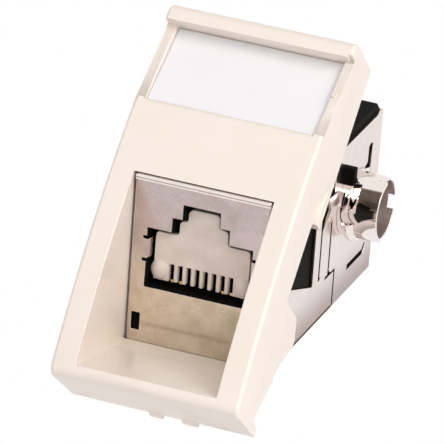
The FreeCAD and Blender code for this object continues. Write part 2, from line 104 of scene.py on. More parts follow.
class JackSizes(bpy.types.PropertyGroup):
    bezel_round: size("Bezel rounding", "Radius left on the bezel's moulded edges", 0.00014)
    sheet_round: size("Sheet rounding", "Radius left on the front shield's edges", 0.00006)
    hood_round: size("Hood rounding", "Radius left on the rear hood's edges", 0.000036)
    ring_round: size("Ring rounding", "Radius left on the clamp ring's edges", 0.000024)
    part_round: size("Part rounding", "Radius left on the small moulded parts", 0.0001)
    housing_round: size("Housing rounding", "Radius left on the jack housing's edges", 0.00005)
    # Painted shade: the shutter's faces deeper than this behind its front are drawn black, darkening the
    # comb's slots.
    slot_shade_depth: size("Shutter plate", "Thickness of the shutter's pale front on its dark slider", 0.0006)
    rib: size("Rib", "Rise of the pressed ribs along the top of the jack's face", 0.00016)
    comb_round: size("Comb rounding", "Radius along the teeth of the shutter's comb", 0.00015)
    lobe_rise: size("Lobe rise", "Rise of the two domes at the shutter's lower corners", 0.00042)
    cover_gap: size("Cover gap", "Air between the label card and its clear cover", 0.00005)
    round_steps: IntProperty(name="Rounding steps", description="Facets across each rounded edge",
                             default=2, min=1, max=4)


class JackColours(bpy.types.PropertyGroup):
    cream: tint("Cream", "Moulded bezel", 250, 239, 229)
    cream_low: tint("Cream shade", "Deeper tone of the bezel's mottling", 246, 232, 220)
    # Painted shade: the rails of the bezel are drawn darker than the rest of its cream.
    rail: tint("Rail", "Rails beside the label", 229, 218, 209)
    card: tint("Card", "Label card", 250, 248, 249)
    card_low: tint("Card shade", "Fibres of the label card", 244, 242, 244)
    black: tint("Black", "Housing and wire cap", 17, 16, 15)
    black_low: tint("Black rub", "Rubbed edges of the black parts", 58, 54, 52)
    grey: tint("Grey", "Shutter", 248, 234, 225)
    grey_low: tint("Grey shade", "Deeper tone of the shutter", 206, 190, 181)
    nickel: tint("Nickel", "Plated sheet", 235, 224, 220)
    nickel_low: tint("Nickel stain", "Duller streaks of the plated sheet", 217, 204, 199)
    # Painted shade: the sides' plating is drawn darker towards their lower edge.
    painted_side_shade: tint("Tarnish", "Plating dulled towards the lower edge of the sides", 134, 111, 101)
    # Painted shade: the face's plating is drawn darker than the same sheet's sides.
    face: tint("Face", "Duller plating of the jack's face", 201, 184, 182)
    face_low: tint("Face stain", "Stains on the jack's face", 183, 167, 163)
    # Painted reflection: the cream recess floor's reflection drawn into the lower half of the face's plating.
    floor_reflection: tint("Warm plating", "Yellowed plating on the lower half of the face", 229, 220, 204)
    floor_reflection_low: tint("Warm stain", "Stains on the yellowed plating", 205, 195, 174)
    bright: tint("Bright nickel", "Polished clamp ring", 240, 231, 225)
    gold: tint("Gold", "Plated contacts", 232, 198, 128)
    gold_low: tint("Gold shade", "Worn tone of the contacts", 205, 160, 92)
    tin: tint("Tin", "Terminals", 216, 214, 208)
    tin_low: tint("Tin shade", "Dull tone of the terminals", 180, 178, 172)
    steel: tint("Steel", "Spring wire", 200, 198, 194)
    board: tint("Board", "Solder resist", 38, 108, 66)
    board_low: tint("Board tracks", "Tracks under the solder resist", 62, 138, 88)
    # Painted shade: the colour drawn into joints and along the sides of the shield's foot.
    painted_shade: tint("Grime", "Dust and shade settled in the joints", 84, 68, 54)
    floor: tint("Floor", "Pale floor of the studio", 246, 246, 246)


class JackStudio(bpy.types.PropertyGroup):
    ambient: level("Ambient", "Even light from the front half", 0.4, 2.0)
    behind: level("Behind", "Share of the even light that comes from behind", 0.4, 1.0)
    table: level("Light table", "Light thrown up by the floor", 0.8, 2.0)
    key: level("Key lamp", "Large soft lamp at the upper left front, in watts", 1.0)
    front: level("Front lamp", "Soft lamp beside the camera, in watts", 1.6)
    side: level("Side lamp", "Soft lamp at the right, in watts", 2.1)
    fill: level("Fill lamp", "Soft lamp at the right front, in watts", 4.0)
    distance: size("Camera distance", "From the camera to the jack", 0.7)
    lens: FloatProperty(name="Lens", description="Focal length in millimetres on a 36 mm sensor",
                        default=507.4)


# Node helpers


def add(tree, kind, inputs=None, **settings):
    """One node with its settings; an input is given a value, or a socket to link."""
    node = tree.nodes.new(kind)
    for name, value in settings.items():
        setattr(node, name, value)
    for name, value in (inputs or {}).items():
        if isinstance(value, bpy.types.NodeSocket):
            tree.links.new(value, node.inputs[name])
        else:
            node.inputs[name].default_value = value
    return node


def maths(tree, kind, a, b=0.0, clamp=False):
    return add(tree, "ShaderNodeMath", {0: a, 1: b}, operation=kind, use_clamp=clamp).outputs[0]


def spread(tree, value, low, high):
    """A value of 0 to 1 as one between low and high."""
    return add(tree, "ShaderNodeMapRange", {"Value": value, "To Min": low, "To Max": high}).outputs["Result"]


def between(tree, value, start, end, low=0.0, high=1.0, **settings):
    """A mask that goes from low to high as a value goes from start to end."""
    return add(tree, "ShaderNodeMapRange", {"Value": value, "From Min": start, "From Max": end,
                                            "To Min": low, "To Max": high}, **settings).outputs["Result"]


def noise(tree, place, scale, detail):
    return add(tree, "ShaderNodeTexNoise", {"Vector": place, "Scale": scale, "Detail": detail}).outputs[0]


def blend_colour(tree, amount, a, b):
    """Colour a turning into colour b; a Mix node keeps its colour sockets at these numbers."""
    factor, first, second, result = 0, 6, 7, 2
    node = add(tree, "ShaderNodeMix", {factor: amount, first: a, second: b}, data_type="RGBA")
    return node.outputs[result]


def paint(name):
    """A colour property as linear RGBA."""
    value = Color(getattr(bpy.context.scene.jack_colours, name))
    return (*value.from_srgb_to_scene_linear(), 1.0)


def new_group(name, inputs, outputs):
    """An empty shader node group with named sockets, and its two end nodes."""
    group = bpy.data.node_groups.new(name, "ShaderNodeTree")
    for label, kind, default in inputs:
        socket = group.interface.new_socket(label, in_out="INPUT", socket_type=kind)
        if default is not None:
            socket.default_value = default
    for label in outputs:
        group.interface.new_socket(label, in_out="OUTPUT", socket_type="NodeSocketFloat")
    given, out = group.nodes.new("NodeGroupInput"), group.nodes.new("NodeGroupOutput")
    return group, given.outputs, out.inputs


def finish_group(name):
    """The shared effect of that name, built once."""
    if name in bpy.data.node_groups:
        return bpy.data.node_groups[name]
    return {"moulded_skin": moulded_skin, "rolled_sheet": rolled_sheet, "edge_rub": edge_rub,
            "crevice_shade": crevice_shade}[name](name)


def moulded_skin(name):
    """Fine texture of a moulding, with slow changes of tone and gloss."""
    group, given, out = new_group(
        name,
        [("Vector", "NodeSocketVector", None), ("Grain", "NodeSocketFloat", 4200.0),
         ("Mottle", "NodeSocketFloat", 160.0)],
        ["Height", "Tone", "Gloss"])
    patches = maths(group, "MULTIPLY", given["Mottle"], 3.1)
    group.links.new(noise(group, given["Vector"], given["Grain"], 2.0), out["Height"])
    group.links.new(noise(group, given["Vector"], given["Mottle"], 4.0), out["Tone"])
    group.links.new(noise(group, given["Vector"], patches, 3.0), out["Gloss"])
    return group


def rolled_sheet(name):
    """Rolling marks of a plated sheet along one direction, with stains."""
    group, given, out = new_group(
        name,
        [("Vector", "NodeSocketVector", None), ("Turn", "NodeSocketVector", (0.0, 0.0, 0.0)),
         ("Stretch", "NodeSocketVector", (500.0, 9000.0, 9000.0)),
         ("Stain", "NodeSocketFloat", 240.0)],
        ["Height", "Streak", "Stain"])
    turned = add(group, "ShaderNodeVectorRotate", {"Vector": given["Vector"], "Rotation": given["Turn"]},
                 rotation_type="EULER_XYZ")
    pulled = add(group, "ShaderNodeVectorMath", {0: turned.outputs[0], 1: given["Stretch"]},
                 operation="MULTIPLY").outputs[0]
    slow = noise(group, given["Vector"], given["Stain"], 4.0)
    fine = noise(group, given["Vector"], maths(group, "MULTIPLY", given["Stain"], 8.0), 3.0)
    stain = maths(group, "ADD", maths(group, "MULTIPLY", slow, 0.75), maths(group, "MULTIPLY", fine, 0.25))
    group.links.new(noise(group, pulled, 1.0, 3.0), out["Height"])
    group.links.new(noise(group, pulled, 0.13, 2.0), out["Streak"])
    group.links.new(stain, out["Stain"])
    return group


def edge_rub(name):
    """Mask along worn edges, broken up so that it isn't an even line."""
    group, given, out = new_group(
        name,
        [("Vector", "NodeSocketVector", None), ("Radius", "NodeSocketFloat", 0.00025),
         ("Break", "NodeSocketFloat", 900.0)],
        ["Mask"])
    rounded = add(group, "ShaderNodeBevel", {"Radius": given["Radius"]}, samples=6)
    flat = add(group, "ShaderNodeNewGeometry")
    dot = add(group, "ShaderNodeVectorMath", {0: rounded.outputs[0], 1: flat.outputs["Normal"]},
              operation="DOT_PRODUCT")
    bare = between(group, dot.outputs["Value"], 0.985, 0.8)
    patch = between(group, noise(group, given["Vector"], given["Break"], 3.0), 0.35, 0.65)
    group.links.new(maths(group, "MULTIPLY", bare, patch), out["Mask"])
    return group


def crevice_shade(name):
    """Mask of painted shade in the narrow joints between pieces, from ambient occlusion."""
    group, given, out = new_group(
        name,
        [("Vector", "NodeSocketVector", None), ("Reach", "NodeSocketFloat", 0.0007),
         ("Break", "NodeSocketFloat", 1400.0)],
        ["Mask"])
    near = add(group, "ShaderNodeAmbientOcclusion", {"Distance": given["Reach"]}, samples=8)
    shut = between(group, near.outputs["AO"], 0.62, 0.18)
    patch = between(group, noise(group, given["Vector"], given["Break"], 3.0), 0.3, 0.6, 0.6)
    group.links.new(maths(group, "MULTIPLY", shut, patch), out["Mask"])
    return group


def start_material(name):
    """An empty material with its shader, and the object's coordinates."""
    material = bpy.data.materials.new(name)
    material.use_nodes = True
    tree = material.node_tree
    tree.nodes.clear()
    output = add(tree, "ShaderNodeOutputMaterial")
    shader = add(tree, "ShaderNodeBsdfPrincipled")
    tree.links.new(shader.outputs[0], output.inputs["Surface"])
    return material, tree, shader, add(tree, "ShaderNodeTexCoord").outputs["Object"]


def effect(tree, name, **values):
    """A shared effect placed in a material with its own values."""
    return add(tree, "ShaderNodeGroup", values, node_tree=finish_group(name)).outputs


def bump(tree, shader, height, depth):
    node = add(tree, "ShaderNodeBump", {"Height": height, "Distance": depth})
    tree.links.new(node.outputs[0], shader.inputs["Normal"])


# Finishes


def plastic(name, colour, low, rub, rough, depth, shine=0.5, mottle=160.0, rub_amount=0.5):
    """Satin moulded plastic, a little rubbed along its edges."""
    material, tree, shader, place = start_material(name)
    shader.inputs["Specular IOR Level"].default_value = shine
    skin = effect(tree, "moulded_skin", Vector=place, Mottle=mottle)
    worn = effect(tree, "edge_rub", Vector=place, Radius=0.00022)["Mask"]
    tone = blend_colour(tree, skin["Tone"], paint(low), paint(colour))
    worn_colour = blend_colour(tree, maths(tree, "MULTIPLY", worn, rub_amount), tone, paint(rub))
    tree.links.new(worn_colour, shader.inputs["Base Color"])
    gloss = spread(tree, skin["Gloss"], rough - 0.07, rough + 0.07)
    polish = maths(tree, "MULTIPLY", worn, 0.02)
    tree.links.new(maths(tree, "SUBTRACT", gloss, polish), shader.inputs["Roughness"])
    bump(tree, shader, skin["Height"], depth)
    return material


def cream_plastic():
    return plastic("cream_plastic", "cream", "cream_low", "cream", 0.37, 0.000005)


def polished_plastic():
    return plastic("polished_plastic", "cream", "cream_low", "cream", 0.16, 0.000003)


# The bezel's cream drawn darker on the rails beside the label, as painted shade.
def shaded_rail_plastic():
    return plastic("shaded_rail_plastic", "rail", "cream_low", "rail", 0.38, 0.000005)


def black_plastic():
    return plastic("black_plastic", "black", "black", "black_low", 0.5, 0.000008, shine=0.02,
                   rub_amount=0.3)


def grey_plastic():
    return plastic("grey_plastic", "grey", "grey_low", "grey", 0.38, 0.000006, mottle=420.0)


# Dark brown painted shade along the sides of the shield's foot, standing for the shade of the gap beneath.
def painted_shade_edge():
    return plastic("painted_shade_edge", "painted_shade", "painted_shade", "painted_side_shade", 0.6, 0.000002, shine=0.03)


def label_paper():
    """Smooth white card with faint fibres."""
    material, tree, shader, place = start_material("label_paper")
    skin = effect(tree, "moulded_skin", Vector=place, Grain=2600.0, Mottle=420.0)
    fibre = add(tree, "ShaderNodeTexVoronoi", {"Vector": place, "Scale": 2200.0},
                feature="DISTANCE_TO_EDGE").outputs["Distance"]
    tone = maths(tree, "MULTIPLY", skin["Tone"], between(tree, fibre, 0.0, 0.12))
    pale = maths(tree, "ADD", tone, 0.45, True)
    tree.links.new(blend_colour(tree, pale, paint("card_low"), paint("card")), shader.inputs["Base Color"])
    tree.links.new(spread(tree, skin["Gloss"], 0.72, 0.9), shader.inputs["Roughness"])
    bump(tree, shader, skin["Height"], 0.000006)
    return material


def clear_plastic():
    """Thin clear cover with a faint haze."""
    material, tree, shader, place = start_material("clear_plastic")
    skin = effect(tree, "moulded_skin", Vector=place, Grain=900.0, Mottle=120.0)
    shader.inputs["Base Color"].default_value = (0.96, 0.97, 0.98, 1.0)
    tree.links.new(spread(tree, skin["Gloss"], 0.03, 0.1), shader.inputs["Roughness"])
    tree.links.new(spread(tree, skin["Tone"], 0.015, 0.04), shader.inputs["Alpha"])
    return material


def metal(name, colour, low, rough, depth, turn, stretch, stain=240.0, mottle=0.7, painted_zones=()):
    """Plated metal with the marks of its rolling, brighter along its edges, with painted shade in its joints
    and zones of painted shade and painted reflection.
    """
    material, tree, shader, place = start_material(name)
    shader.inputs["Metallic"].default_value = 1.0
    marks = effect(tree, "rolled_sheet", Vector=place, Turn=turn, Stretch=stretch, Stain=stain)
    worn = effect(tree, "edge_rub", Vector=place, Radius=0.00015)["Mask"]
    middle = 0.6
    stained = spread(tree, marks["Stain"], middle - mottle, middle + mottle)
    tone = maths(tree, "ADD", stained, 0.0, True)
    base = blend_colour(tree, tone, paint(low), paint(colour))
    # Each zone paints shade or a reflection into the plating's colour.
    for mask, zone_low, zone_colour, amount in painted_zones:
        patch = blend_colour(tree, tone, paint(zone_low), paint(zone_colour))
        base = blend_colour(tree, maths(tree, "MULTIPLY", mask(tree, place), amount), base, patch)
    rubbed = blend_colour(tree, maths(tree, "MULTIPLY", worn, 0.5), base, paint("bright"))
    # Painted shade: the joints between pieces are darkened in the shade colour.
    joint_shade = maths(tree, "MULTIPLY", effect(tree, "crevice_shade", Vector=place, Reach=0.0005)["Mask"], 0.6)
    tree.links.new(blend_colour(tree, joint_shade, rubbed, paint("painted_shade")), shader.inputs["Base Color"])
    gloss = spread(tree, marks["Streak"], rough * 0.75, rough * 1.25)
    polish = maths(tree, "MULTIPLY", worn, 0.05)
    tree.links.new(maths(tree, "SUBTRACT", gloss, polish, True), shader.inputs["Roughness"])
    bump(tree, shader, marks["Height"], depth)
    return material


def up_the_jack(tree, place, start, end):
    """Mask that grows from one height of the jack's own frame to another, in millimetres."""
    local = add(tree, "ShaderNodeVectorMath", {0: place, 1: tuple(JACK)}, operation="SUBTRACT").outputs[0]
    height = add(tree, "ShaderNodeVectorMath", {0: local, 1: tuple(UP)}, operation="DOT_PRODUCT")
    return between(tree, height.outputs["Value"], start * MM, end * MM, interpolation_type="SMOOTHSTEP")


def lower_side_shade(tree, place):
    """Mask of painted shade that grows down the shield's two sides."""
    across = add(tree, "ShaderNodeSeparateXYZ", {0: place}).outputs["X"]
    outside = between(tree, maths(tree, "ABSOLUTE", across), 0.0079, 0.0082)
    return maths(tree, "MULTIPLY", up_the_jack(tree, place, -6.0, -12.5), outside)


# Mask of the painted reflection of the cream recess floor, growing down the face.
def lower_face_reflection(tree, place):
    return up_the_jack(tree, place, 4.0, -3.0)


# The sides' plating, with painted shade towards their lower edge.
def nickel_sheet():
    return metal("nickel_sheet", "nickel", "nickel_low", 0.19, 0.000001, (-TILT, 0.0, 0.0),
                 (900.0, 9000.0, 500.0), painted_zones=((lower_side_shade, "painted_side_shade", "painted_side_shade", 0.8),))


# The face's plating, drawn darker than the sides as painted shade, with a painted reflection of the cream
# recess floor on its lower half.
def shaded_nickel_face():
    return metal("shaded_nickel_face", "face", "face_low", 0.19, 0.000001, (-TILT, 0.0, 0.0),
                 (900.0, 9000.0, 500.0), 420.0, 1.9, painted_zones=((lower_face_reflection, "floor_reflection_low", "floor_reflection", 0.9),))


def nickel_worn():
    return metal("nickel_worn", "nickel", "nickel_low", 0.36, 0.000002, (0.0, 0.0, 0.0),
                 (4000.0, 900.0, 900.0), 900.0)


def nickel_bright():
    return metal("nickel_bright", "bright", "nickel", 0.06, 0.0000002, (0.0, 0.0, 0.0),
                 (600.0, 5000.0, 5000.0))


def gold_contact():
    return metal("gold_contact", "gold", "gold_low", 0.20, 0.000001, (-TILT, 0.0, 0.0),
                 (7000.0, 500.0, 7000.0), 900.0)


def tinned_terminal():
    return metal("tinned_terminal", "tin", "tin_low", 0.38, 0.0000015, (-TILT, 0.0, 0.0),
                 (7000.0, 500.0, 7000.0), 600.0)


def spring_steel():
    return metal("spring_steel", "steel", "tin_low", 0.20, 0.000001, (-TILT, 0.0, 0.0),
                 (5000.0, 5000.0, 5000.0), 800.0)


def board_green():
    """Solder resist over faint tracks."""
    material, tree, shader, place = start_material("board_green")
    turned = add(tree, "ShaderNodeVectorRotate", {"Vector": place, "Rotation": (-TILT, 0.0, 0.0)},
                 rotation_type="EULER_XYZ").outputs[0]
    track = add(tree, "ShaderNodeTexBrick", {"Vector": turned, "Scale": 260.0, "Mortar Size": 0.06})
    lines = track.outputs["Fac"]
    skin = effect(tree, "moulded_skin", Vector=place, Grain=3000.0, Mottle=300.0)
    tree.links.new(blend_colour(tree, lines, paint("board"), paint("board_low")), shader.inputs["Base Color"])
    tree.links.new(spread(tree, skin["Gloss"], 0.3, 0.45), shader.inputs["Roughness"])
    bump(tree, shader, lines, 0.00002)
    return material


MAKERS = {maker.__name__: maker for maker in (
    cream_plastic, polished_plastic, shaded_rail_plastic, black_plastic, grey_plastic, painted_shade_edge, label_paper,
    clear_plastic, nickel_sheet, shaded_nickel_face, nickel_worn, nickel_bright, gold_contact, tinned_terminal,
    spring_steel, board_green)}


def finish(slot):
    """The material of a slot, made once."""
    made = bpy.data.materials.get("jack_" + slot)
    if made is None:
        made = MAKERS[slot]()
        made.name = "jack_" + slot
    return made


# Modelling helpers


def merged(node):
    """A CAD node's mesh as a bmesh with its triangles joined and its flats whole."""
    bm = bmesh.new()
    bm.from_mesh(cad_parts[node].data)
    bmesh.ops.remove_doubles(bm, verts=bm.verts, dist=MERGE_REACH)
    bmesh.ops.dissolve_limit(bm, angle_limit=FLAT_ANGLE, use_dissolve_boundaries=False, verts=bm.verts,
                             edges=bm.edges)
    return bm


def roomy(edge, width):
    """True where both ends of a sharp edge leave room to round it off."""
    for vert in edge.verts:
        away = (edge.other_vert(vert).co - vert.co).normalized()
        for other in vert.link_edges:
            if other is edge:
                continue
            side = other.other_vert(vert).co - vert.co
            in_line = abs(side.normalized().dot(away)) > 0.8
            if side.length < (ROOM_AHEAD if in_line else ROOM_BESIDE) * width:
                return False
    return edge.calc_length() > ROOM_AHEAD * width


def folds(bm):
    """Triangles that lie folded over in their own face: the middle of the shortest side, and the area."""
    found, no_area = [], 1e-13
    for corners in bm.calc_loop_triangles():
        a, b, c = (corner.vert.co for corner in corners)
        way = (b - a).cross(c - a)
        if way.length > no_area and way.normalized().dot(corners[0].face.normal) < 0.2:
            start, end = min(((a, b), (b, c), (c, a)), key=lambda side: (side[0] - side[1]).length)
            found.append(((start + end) / 2, way.length / 2))
    return found


def bevel(bm, edges, width, steps, **settings):
    bmesh.ops.bevel(bm, geom=edges, offset=width, offset_type="OFFSET", affect="EDGES", segments=steps,
                    profile=0.5, material=-1, **settings)


def round_edges(bm, width):
    """Rounds off the sharp edges with room for it, but short ones stay sharp where that folds less."""
    def rounded(target, edges):
        target.edges.ensure_lookup_table()
        bevel(target, [target.edges[i] for i in edges], width, bpy.context.scene.jack_sizes.round_steps,
              clamp_overlap=False, loop_slide=True)

    def clear_of(edge, places):
        if edge.calc_length() > LONG_EDGE:
            return True
        reach = FOLD_REACH * width
        return all((vert.co - place).length > reach for vert in edge.verts for place in places)

    bm.edges.index_update()
    bm.edges.ensure_lookup_table()
    sharp = [e for e in bm.edges if len(e.link_faces) == 2 and e.calc_face_angle() > SHARP_ANGLE]
    chosen = best = [e.index for e in sharp if roomy(e, width)]
    least = math.inf
    while True:
        trial = bm.copy()
        rounded(trial, chosen)
        folded = folds(trial)
        trial.free()
        total = sum(area for _, area in folded)
        if total >= least:
            break
        best, least = chosen, total
        chosen = [i for i in chosen if clear_of(bm.edges[i], [place for place, _ in folded])]
    rounded(bm, best)


def cut(bm, place, way, **settings):
    """Cuts a bmesh along a plane; gives the edges and corners of the cut."""
    everything = [*bm.verts, *bm.edges, *bm.faces]
    return bmesh.ops.bisect_plane(bm, geom=everything, plane_co=place, plane_no=way, **settings)["geom_cut"]


def placed(name, bm, slot, body="frame", nodes=()):
    """Makes the bmesh an object that rides on a body and takes a slot's finish."""
    bmesh.ops.dissolve_degenerate(bm, dist=NO_LENGTH, edges=bm.edges)
    mesh = bpy.data.meshes.new(name)
    bm.to_mesh(mesh)
    bm.free()
    piece = bpy.data.objects.new(name, mesh)
    bpy.context.scene.collection.objects.link(piece)
    mesh.materials.append(finish(slot))
    mesh.shade_smooth()
    mesh.set_sharp_from_angle(angle=CREASE_ANGLE)
    weighted = piece.modifiers.new("Weighted normals", "WEIGHTED_NORMAL")
    weighted.keep_sharp = True
    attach(piece, body)
    if nodes:
        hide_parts(*nodes)
    return piece


def softened(node, width, slot, seam=None):
    """A copy of a CAD node with rounded edges, standing for it, cut at a seam's height on the jack."""
    bm = merged(node)
    round_edges(bm, width)
    if seam is not None:
        cut(bm, JACK + UP * seam, UP)
    return placed(node + "_soft", bm, slot, nodes=(node,))


def second_finish(piece, slot, chosen):
    """Gives the chosen faces of a piece a finish of their own."""
    piece.data.materials.append(finish(slot))
    last = len(piece.data.materials) - 1
    for face in piece.data.polygons:
        if chosen(face):
            face.material_index = last


def refinish(node, slot):
    """Gives a CAD node that keeps its mesh a better material."""
    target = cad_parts[node]
    if not target.material_slots:
        raise RuntimeError(f"{node} has no material slot")
    for kept in target.material_slots:
        kept.material = finish(slot)


# Operators


class JACK_OT_bezel(bpy.types.Operator):
    """Softened cream bezel"""
    bl_idname = "jack.bezel"
    bl_label = "Bezel"

    def execute(self, context):
        bezel = softened("bezel", context.scene.jack_sizes.bezel_round, "cream_plastic")
        second_finish(bezel, "shaded_rail_plastic", self.on_rail)
        second_finish(bezel, "polished_plastic", self.in_recess)
        return {"FINISHED"}

    def on_rail(self, face):
        """True on the front of the two rails beside the label, which are drawn darker as painted shade."""
        (inner, outer), (low, high) = (0.0102, 0.0111), (0.0331, 0.0429)
        place = face.center
        return face.normal.y < -0.6 and inner < abs(place.x) < outer and low < place.z < high

    def in_recess(self, face):
        """True on the floor and the inner walls of the plug recess."""
        half, (front, rear), (low, high), floor_high = 9.9, (-2.3, 9.0), (0.9, 25.5), 6.0
        place, way = face.center / MM, face.normal
        if not (abs(place.x) < half and front < place.y < rear and low < place.z < high):
            return False
        on_floor = way.z > 0.3 and place.z < floor_high
        return on_floor or way.x * place.x < -0.8 * abs(place.x)


class JACK_OT_label(bpy.types.Operator):
    """Label card and its clear cover"""
    bl_idname = "jack.label"
    bl_label = "Label"

    def execute(self, context):
        sizes = context.scene.jack_sizes
        refinish("label_card", "label_paper")
        bm = merged("label_cover")
        back = {vert for face in bm.faces if face.normal.y > 0.6 for vert in face.verts}
        bmesh.ops.translate(bm, verts=list(back), vec=(0.0, -sizes.cover_gap, 0.0))
        round_edges(bm, sizes.part_round)
        placed("label_cover_soft", bm, "clear_plastic", nodes=("label_cover",))
        return {"FINISHED"}


class JACK_OT_shields(bpy.types.Operator):
    """Stamped front shield, rear hood and cable clamp"""
    bl_idname = "jack.shields"
    bl_label = "Shields and clamp"

    def execute(self, context):
        sizes = context.scene.jack_sizes
        shield = softened("front_shield", sizes.sheet_round, "nickel_sheet", seam=SHIELD_BEND)
        # The face takes its plating with painted shade and a painted reflection.
        second_finish(shield, "shaded_nickel_face", lambda face: face.normal.dot(ALONG) < -0.9)
        # Painted shade along the sides of the shield's foot.
        second_finish(shield, "painted_shade_edge", self.under_bend)
        softened("rear_hood", sizes.hood_round, "nickel_sheet")
        self.ring(softened("cable_clamp", sizes.ring_round, "nickel_bright"))
        self.top_ribs(sizes.rib)
        return {"FINISHED"}

    def under_bend(self, face):
        """True along the sides of the shield's foot, which take the painted shade."""
        return (face.center - JACK).dot(UP) < SHIELD_BEND and abs(face.normal.x) > 0.2

    def ring(self, piece):
        """Worn bore, and normals that run true round the ring's axis."""
        axis = jack_point(*RING_AXIS)

        def outward(place):
            return Vector((0.0, place.y - axis.y, place.z - axis.z)).normalized()

        second_finish(piece, "nickel_worn", lambda face: face.normal.dot(outward(face.center)) < -0.8)
        piece.modifiers.clear()
        mesh = piece.data
        normals = [corner.vector.copy() for corner in mesh.corner_normals]
        for face in mesh.polygons:
            lean = face.normal.dot(outward(face.center))
            if abs(lean) > 0.995:
                for corner in face.loop_indices:
                    way = outward(mesh.vertices[mesh.loops[corner].vertex_index].co)
                    normals[corner] = way if lean > 0 else -way
        mesh.normals_split_custom_set(normals)

    def top_ribs(self, rise):
        """Two pressed ribs along the upper edge of the jack's face."""
        heights, half, sunk, ridge_angle, blunt = (9.3, 9.63), 8.1, 0.06, 2.0, 0.2
        deep = rise + sunk * MM
        bm = bmesh.new()
        for height in heights:
            start = jack_point(-half, sunk, height)
            section = [start, start - ALONG * deep, start + UP * deep]
            rib = bm.faces.new([bm.verts.new(corner) for corner in section])
            grown = bmesh.ops.extrude_face_region(bm, geom=[rib], use_keep_orig=True)["geom"]
            far = [item for item in grown if isinstance(item, bmesh.types.BMVert)]
            bmesh.ops.translate(bm, verts=far, vec=(2 * half * MM, 0.0, 0.0))
        bmesh.ops.recalc_face_normals(bm, faces=bm.faces)
        ridges = [edge for edge in bm.edges if edge.calc_face_angle() > ridge_angle]
        bevel(bm, ridges, rise * blunt, 2)
        placed("face_ribs", bm, "nickel_bright")


class JACK_OT_plastics(bpy.types.Operator):
    """Housing, wire cap, contact carrier and terminal block"""
    bl_idname = "jack.plastics"
    bl_label = "Black parts"

    def execute(self, context):
        sizes = context.scene.jack_sizes
        softened("jack_housing", sizes.housing_round, "black_plastic")
        for node in ("wire_cap", "contact_carrier", "terminal_block"):
            softened(node, sizes.part_round, "black_plastic")
        self.grip_ribs(sizes.part_round)
        return {"FINISHED"}

    def grip_ribs(self, width):
        """Low bars across the top of the wire cap."""
        count, first, pitch, height = 6, 26.4, 1.3, 8.72
        length, thick, rounder = 0.0118, 0.0007, 2.2
        bm = bmesh.new()
        for step in range(count):
            bar = bmesh.ops.create_cube(bm, size=1.0)["verts"]
            bmesh.ops.scale(bm, verts=bar, vec=(length, thick, thick))
            bmesh.ops.rotate(bm, verts=bar, matrix=Matrix.Rotation(TILT, 3, "X"))
            bmesh.ops.translate(bm, verts=bar, vec=jack_point(0, first + pitch * step, height))
        lengthwise = [edge for edge in bm.edges if edge.calc_length() > length / 2]
        bevel(bm, lengthwise, width * rounder, 3)
        placed("cap_ribs", bm, "black_plastic")


class JACK_OT_shutter(bpy.types.Operator):
    """Sliding shutter and the spring behind it"""
    bl_idname = "jack.shutter"
    bl_label = "Shutter and spring"

    def execute(self, context):
        sizes = context.scene.jack_sizes
        bm = merged("shutter")
        front, comb_half, comb_top = jack_point(0, SHUTTER_FRONT, 0), 4.1 * MM, -0.7 * MM

        def in_comb(vert):
            local = vert.co - front
            in_front = abs(local.dot(ALONG)) < 1e-5
            return in_front and abs(local.x) < comb_half and local.dot(UP) < comb_top

        comb = [edge for edge in bm.edges if all(in_comb(vert) for vert in edge.verts)]
        bevel(bm, comb, sizes.comb_round, 3)
        round_edges(bm, sizes.part_round)
        # The one grey shutter is drawn black behind its pale front: painted shade in the comb's slots.
        split = front + ALONG * sizes.slot_shade_depth
        cut(bm, split, ALONG)
        for face in bm.faces:
            face.material_index = int((face.calc_center_median() - split).dot(ALONG) > 0)
        plate = placed("shutter_soft", bm, "grey_plastic", "shutter", ("shutter",))
        plate.data.materials.append(finish("black_plastic"))
        self.lobes(sizes.lobe_rise)
        coil = merged("shutter_spring")
        spring = placed("shutter_spring_coil", coil, "spring_steel", "frame", ("shutter_spring",))
        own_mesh(spring)
        return {"FINISHED"}

    def lobes(self, rise):
        """Low domes at the shutter's two lower corners."""
        half, tall, out, height, sunk = 0.00104, 0.00125, 4.98, -1.7, 0.01
        ball = (half * half + rise * rise) / (2 * rise)
        bm = bmesh.new()
        for side in (-1, 1):
            dome = bmesh.ops.create_uvsphere(bm, u_segments=48, v_segments=32, radius=ball)["verts"]
            bmesh.ops.scale(bm, verts=dome, vec=(1.0, 1.0, tall / half))
            bmesh.ops.translate(bm, verts=dome, vec=(0.0, ball - rise, 0.0))
            bmesh.ops.rotate(bm, verts=dome, matrix=Matrix.Rotation(TILT, 3, "X"))
            bmesh.ops.translate(bm, verts=dome, vec=jack_point(side * out, SHUTTER_FRONT, height))
        rims = cut(bm, jack_point(0, SHUTTER_FRONT + sunk, 0), ALONG, clear_outer=True)
        bmesh.ops.edgeloop_fill(bm, edges=[item for item in rims if isinstance(item, bmesh.types.BMEdge)])
        bmesh.ops.recalc_face_normals(bm, faces=bm.faces)
        placed("shutter_lobes", bm, "grey_plastic", "shutter")


class JACK_OT_metals(bpy.types.Operator):
    """Contacts, terminals and circuit board"""
    bl_idname = "jack.metals"
    bl_label = "Contacts and board"

    def execute(self, context):
        for way in range(1, 9):
            refinish(f"contact_{way}", "gold_contact")
            refinish(f"terminal_{way}", "tinned_terminal")
        refinish("circuit_board", "board_green")
        return {"FINISHED"}


